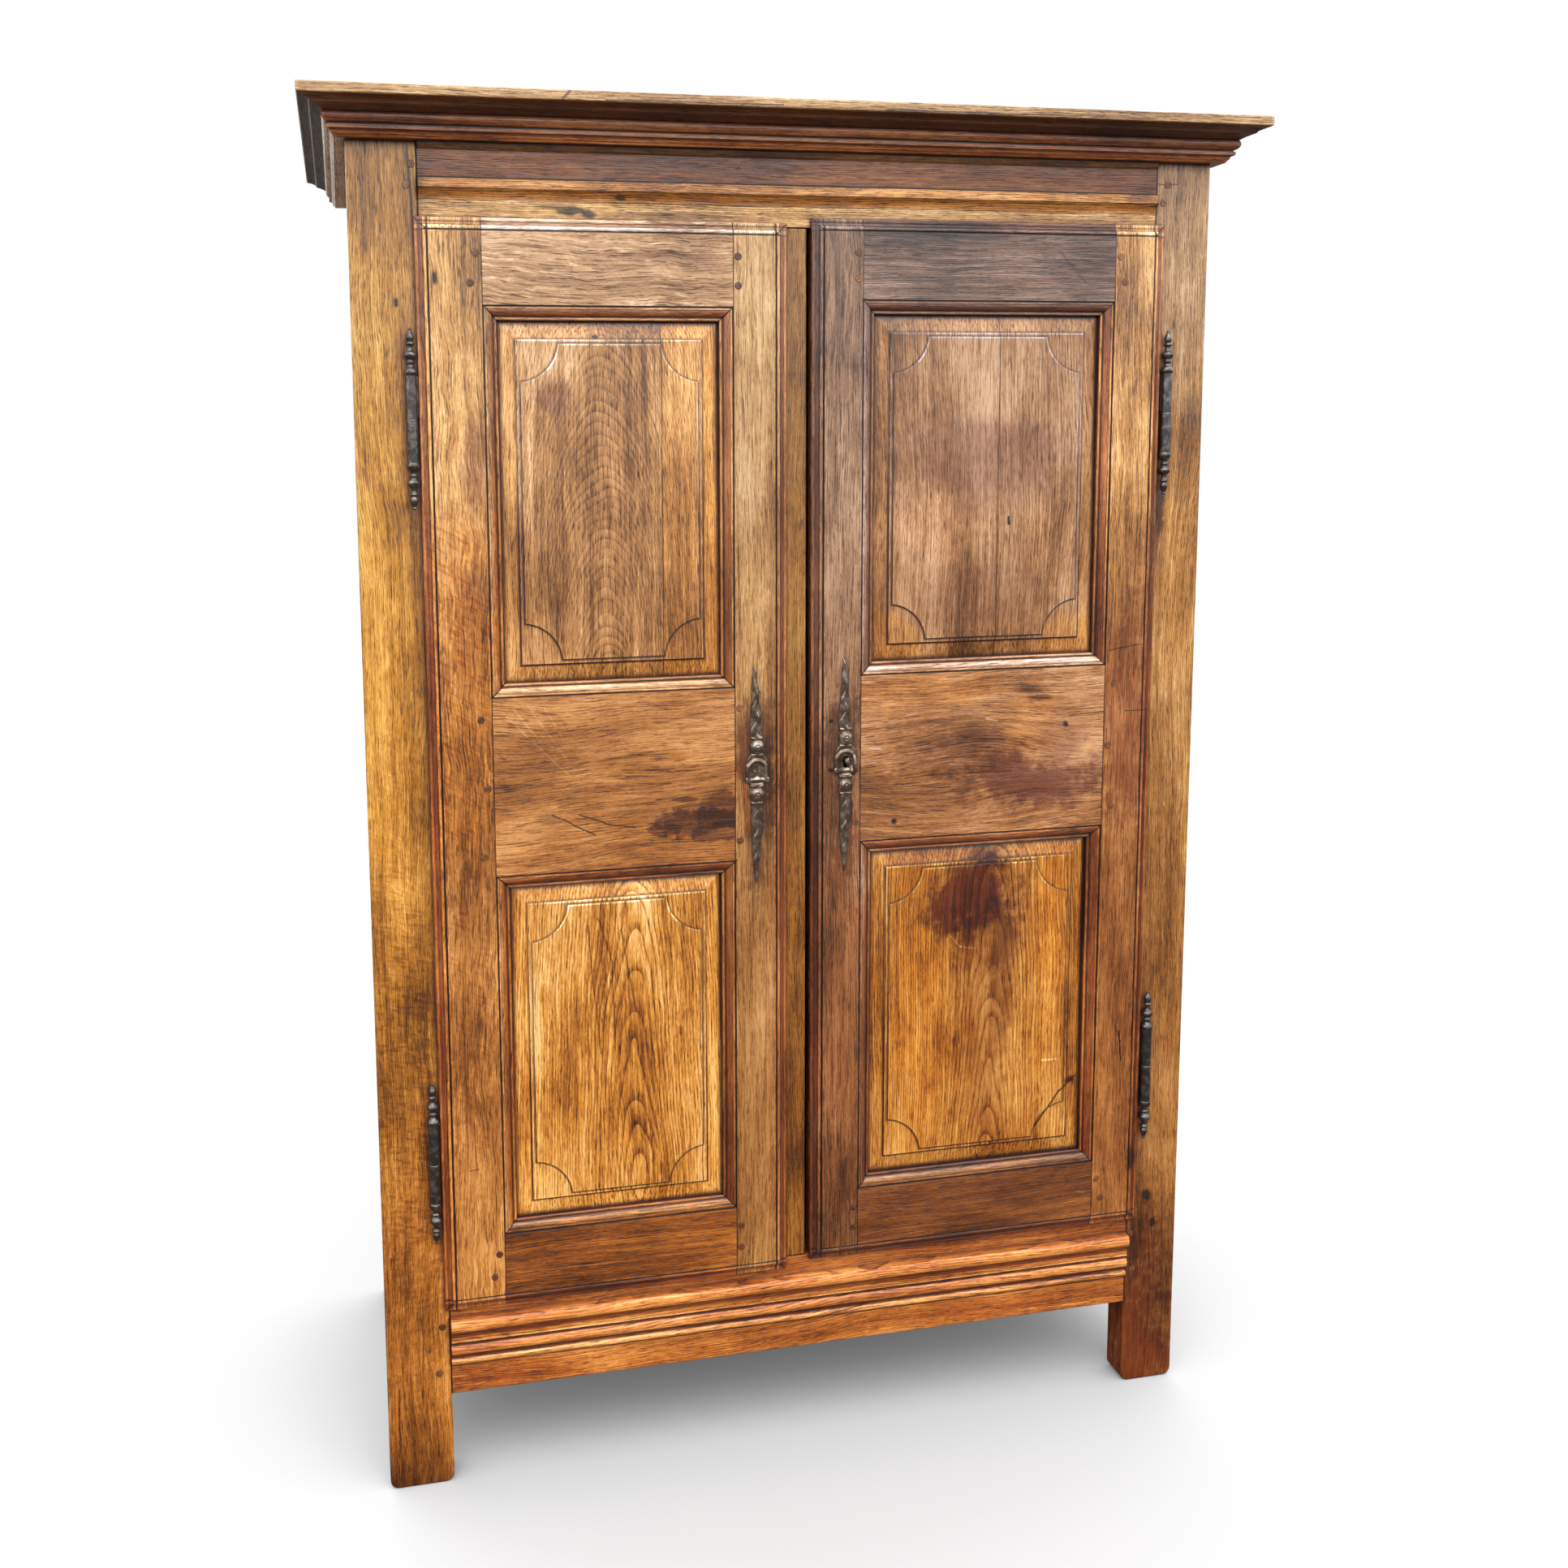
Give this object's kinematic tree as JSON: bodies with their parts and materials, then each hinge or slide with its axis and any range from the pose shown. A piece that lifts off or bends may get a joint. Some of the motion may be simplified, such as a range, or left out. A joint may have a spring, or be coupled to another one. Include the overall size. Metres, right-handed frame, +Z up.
{
  "type": "armoire",
  "caption": "Tall oak armoire with framed, fielded-panel doors on lift-off hinges, a moulded cornice and apron, shelves, a key lock and sliding door bolts.",
  "frame": {"origin": "middle of the whole object's footprint, on the floor", "axes": "+X to the right facing the doors, +Y into the cabinet, +Z up"},
  "size_m": [1.422, 0.585, 2.039],
  "materials": {
    "frame_oak": "waxed, worn brown oak",
    "panel_oak": "waxed figured oak, golden brown",
    "cornice_oak": "waxed dark oak with rubbed edges",
    "plain_oak": "dry unfinished oak",
    "peg_oak": "waxed dark end grain",
    "hinge_iron": "polished dark iron",
    "bright_steel": "filed steel with brown patina",
    "lock_iron": "forged iron with brown rust bloom"
  },
  "bodies": {
    "root": {"front_post_left": "frame_oak", "front_post_right": "frame_oak", "back_post_left": "frame_oak", "back_post_right": "frame_oak", "front_top_rail": "frame_oak", "front_bottom_rail": "frame_oak", "back_top_rail": "plain_oak", "back_bottom_rail": "plain_oak", "side_top_rail_left": "frame_oak", "side_top_rail_right": "frame_oak", "side_bottom_rail_left": "frame_oak", "side_bottom_rail_right": "frame_oak", "side_panel_left": "frame_oak", "side_panel_right": "frame_oak", "cornice_bed_front": "cornice_oak", "cornice_bed_left": "cornice_oak", "cornice_bed_right": "cornice_oak", "cornice_crown_front": "cornice_oak", "cornice_crown_left": "cornice_oak", "cornice_crown_right": "cornice_oak", "back_boards": "plain_oak", "floor_boards": "plain_oak", "roof_boards": "plain_oak", "lower_shelf": "plain_oak", "upper_shelf": "plain_oak", "shelf_cleats": "plain_oak", "carcass_pegs": "peg_oak", "hinge_lower_halves": "hinge_iron"},
    "left_door": {"left_hinge_stile": "frame_oak", "left_meeting_stile": "frame_oak", "left_bottom_rail": "frame_oak", "left_middle_rail": "frame_oak", "left_top_rail": "frame_oak", "left_lower_panel": "panel_oak", "left_upper_panel": "panel_oak", "left_door_pegs": "peg_oak", "left_hinge_halves": "hinge_iron", "left_escutcheon": "bright_steel", "left_escutcheon_nails": "bright_steel", "left_rebate_strip": "frame_oak", "lock_strike": "lock_iron", "bolt_plates": "lock_iron"},
    "right_door": {"right_hinge_stile": "frame_oak", "right_meeting_stile": "frame_oak", "right_bottom_rail": "frame_oak", "right_middle_rail": "frame_oak", "right_top_rail": "frame_oak", "right_lower_panel": "panel_oak", "right_upper_panel": "panel_oak", "right_door_pegs": "peg_oak", "right_hinge_halves": "hinge_iron", "right_escutcheon": "bright_steel", "right_escutcheon_nails": "bright_steel", "lock_case": "lock_iron"},
    "upper_bolt": {"upper_bolt": "lock_iron"},
    "lower_bolt": {"lower_bolt": "lock_iron"},
    "lock_bolt": {"lock_bolt": "lock_iron"},
    "key": {"key": "bright_steel"}
  },
  "joints": [
    {"name": "left_door_hinge", "type": "hinge", "parent": "root", "child": "left_door", "pos_m": [-0.571, -0.241, 1], "axis": [0, 0, -1], "range_deg": [0, 165]},
    {"name": "right_door_hinge", "type": "hinge", "parent": "root", "child": "right_door", "pos_m": [0.581, -0.241, 1], "axis": [0, 0, 1], "range_deg": [0, 165]},
    {"name": "key_turn", "type": "hinge", "parent": "right_door", "child": "key", "pos_m": [0.063, -0.22, 1.09], "axis": [0, 1, 0], "range_deg": [0, 180]},
    {"name": "lock_bolt_slide", "type": "slide", "parent": "right_door", "child": "lock_bolt", "axis": [-1, 0, 0], "range_m": [0, 0.014]},
    {"name": "upper_bolt_slide", "type": "slide", "parent": "left_door", "child": "upper_bolt", "axis": [0, 0, 1], "range_m": [0, 0.015]},
    {"name": "lower_bolt_slide", "type": "slide", "parent": "left_door", "child": "lower_bolt", "axis": [0, 0, -1], "range_m": [0, 0.015]}
  ],
  "couplings": [
    {"joint": "key_turn", "follows": "lock_bolt_slide", "rad_per_m": 224.4}
  ]
}
